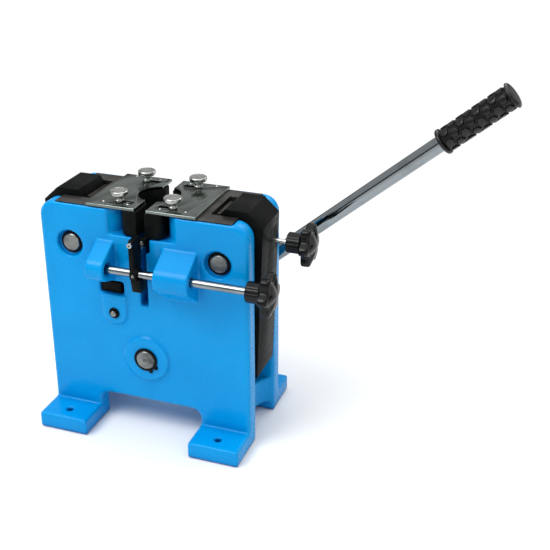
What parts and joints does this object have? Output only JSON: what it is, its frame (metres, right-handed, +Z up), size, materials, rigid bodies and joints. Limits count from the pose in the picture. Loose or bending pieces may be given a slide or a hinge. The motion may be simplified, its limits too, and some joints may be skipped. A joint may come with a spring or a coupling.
{
  "type": "bench press for cold-joining wire",
  "caption": "Bench wire-joining press: blue two-plate casting on bolt-down feet, rocking black arms, sliding cover plates over a round die nest, star knobs and a long hand lever.",
  "frame": {"origin": "middle of the bounding box in plan, on the surface that the feet stand on", "axes": "+X along the width of the frame, towards the side that the lever leans to; +Y from the front plate to the rear; +Z up"},
  "size_m": [0.571, 0.2018, 0.4688],
  "materials": {
    "blue_paint": "semi-gloss sprayed enamel over a cast surface",
    "black_oxide": "blackened steel, satin, oiled",
    "ground_steel": "surface-ground and polished steel",
    "strip_steel": "darkened ground steel",
    "pin_steel": "turned bright steel",
    "zinc": "bright zinc plate",
    "chrome": "polished chrome plate",
    "black_plastic": "moulded black phenolic, slight gloss",
    "grip_rubber": "moulded black rubber with raised hexagons",
    "bronze": "turned bearing bronze"
  },
  "bodies": {
    "frame": {"frame_casting": "blue_paint", "top_strip_left": "strip_steel", "top_strip_right": "strip_steel", "arm_pivot_pin_left": "pin_steel", "arm_pivot_pin_right": "pin_steel", "pivot_ring_front_left": "black_oxide", "pivot_ring_front_right": "black_oxide", "pivot_ring_rear_left": "black_oxide", "pivot_ring_rear_right": "black_oxide", "shaft_bush_front": "bronze", "shaft_bush_rear": "bronze", "pawl_pin": "pin_steel", "pawl_clip": "black_oxide"},
    "lever": {"main_shaft": "pin_steel", "cam": "ground_steel", "cam_key": "ground_steel", "shaft_ring": "black_oxide", "ratchet_sector": "black_oxide", "lever_hub": "black_oxide", "hub_clamp_screw": "black_oxide", "lever_tube": "chrome", "lever_grip": "grip_rubber"},
    "stroke": {"stroke_screw": "zinc", "stroke_knob": "black_plastic"},
    "opener": {"opener_rod": "chrome", "opener_knob": "black_plastic", "finger_lever": "black_oxide", "finger_bolt": "pin_steel", "finger_set_screw": "pin_steel"},
    "spreader": {"spreader_bar": "black_oxide", "spreader_screw": "pin_steel"},
    "pawl": {"pawl": "black_oxide"},
    "arm_left_swing": {"arm_left": "black_oxide", "roller_pin_left": "pin_steel"},
    "roller_left": {"cam_roller_left": "pin_steel"},
    "carrier_left": {"die_carrier_left": "black_oxide", "thrust_pad_left": "pin_steel"},
    "cover_left": {"cover_plate_left": "ground_steel", "cover_dowel_left_1": "pin_steel", "cover_dowel_left_2": "pin_steel", "cover_dowel_left_3": "pin_steel", "cover_dowel_left_4": "pin_steel"},
    "thumb_left_front": {"thumb_screw_left_front": "zinc"},
    "thumb_left_rear": {"thumb_screw_left_rear": "zinc"},
    "arm_right_swing": {"arm_right": "black_oxide", "roller_pin_right": "pin_steel"},
    "roller_right": {"cam_roller_right": "pin_steel"},
    "carrier_right": {"die_carrier_right": "black_oxide", "thrust_pad_right": "pin_steel"},
    "cover_right": {"cover_plate_right": "ground_steel", "cover_dowel_right_1": "pin_steel", "cover_dowel_right_2": "pin_steel", "cover_dowel_right_3": "pin_steel", "cover_dowel_right_4": "pin_steel"},
    "thumb_right_front": {"thumb_screw_right_front": "zinc"},
    "thumb_right_rear": {"thumb_screw_right_rear": "zinc"}
  },
  "joints": [
    {"name": "handle_turn", "type": "hinge", "parent": "frame", "child": "lever", "pos_m": [-0.13749, 0.0043, 0.1067], "axis": [0, 1, 0], "range_deg": [-45, 42]},
    {"name": "arm_left_rock", "type": "hinge", "parent": "frame", "child": "arm_left_swing", "pos_m": [-0.23749, 0.0043, 0.253], "axis": [0, 1, 0], "range_deg": [-4, 4]},
    {"name": "carrier_left_slide", "type": "slide", "parent": "frame", "child": "carrier_left", "axis": [1, 0, 0], "range_m": [-0.0027, 0.0027]},
    {"name": "roller_left_spin", "type": "hinge", "parent": "arm_left_swing", "child": "roller_left", "pos_m": [-0.19149, 0.0043, 0.1067], "axis": [0, 1, 0], "continuous": true},
    {"name": "cover_left_slide", "type": "slide", "parent": "frame", "child": "cover_left", "axis": [-1, 0, 0], "range_m": [0, 0.016]},
    {"name": "thumb_left_front_turn", "type": "hinge", "parent": "frame", "child": "thumb_left_front", "pos_m": [-0.17349, -0.0344, 0.3075], "axis": [0, 0, 1], "continuous": true},
    {"name": "thumb_left_rear_turn", "type": "hinge", "parent": "frame", "child": "thumb_left_rear", "pos_m": [-0.17349, 0.043, 0.3075], "axis": [0, 0, 1], "continuous": true},
    {"name": "arm_right_rock", "type": "hinge", "parent": "frame", "child": "arm_right_swing", "pos_m": [-0.03749, 0.0043, 0.253], "axis": [0, 1, 0], "range_deg": [-4, 4]},
    {"name": "carrier_right_slide", "type": "slide", "parent": "frame", "child": "carrier_right", "axis": [1, 0, 0], "range_m": [-0.0027, 0.0027]},
    {"name": "roller_right_spin", "type": "hinge", "parent": "arm_right_swing", "child": "roller_right", "pos_m": [-0.08349, 0.0043, 0.1067], "axis": [0, 1, 0], "continuous": true},
    {"name": "cover_right_slide", "type": "slide", "parent": "frame", "child": "cover_right", "axis": [1, 0, 0], "range_m": [0, 0.016]},
    {"name": "thumb_right_front_turn", "type": "hinge", "parent": "frame", "child": "thumb_right_front", "pos_m": [-0.10149, -0.0344, 0.3075], "axis": [0, 0, 1], "continuous": true},
    {"name": "thumb_right_rear_turn", "type": "hinge", "parent": "frame", "child": "thumb_right_rear", "pos_m": [-0.10149, 0.043, 0.3075], "axis": [0, 0, 1], "continuous": true},
    {"name": "stroke_knob_turn", "type": "hinge", "parent": "arm_right_swing", "child": "stroke", "pos_m": [0.02251, 0.0043, 0.2705], "axis": [1, 0, 0], "continuous": true},
    {"name": "opener_turn", "type": "hinge", "parent": "frame", "child": "opener", "pos_m": [-0.07749, -0.0739, 0.236], "axis": [1, 0, 0], "range_deg": [-12, 10]},
    {"name": "spreader_slide", "type": "slide", "parent": "frame", "child": "spreader", "axis": [0, 1, 0], "range_m": [-0.0062, 0.0075]},
    {"name": "pawl_swing", "type": "hinge", "parent": "frame", "child": "pawl", "pos_m": [-0.17849, -0.0249, 0.167], "axis": [0, 1, 0], "range_deg": [0, 6]}
  ],
  "couplings": [
    {"joint": "arm_left_rock", "follows": "handle_turn", "ratio": 0.0874},
    {"joint": "carrier_left_slide", "follows": "handle_turn", "m_per_rad": 0.0033212},
    {"joint": "arm_right_rock", "follows": "handle_turn", "ratio": -0.0874},
    {"joint": "carrier_right_slide", "follows": "handle_turn", "m_per_rad": -0.0033212},
    {"joint": "spreader_slide", "follows": "opener_turn", "m_per_rad": -0.034}
  ]
}
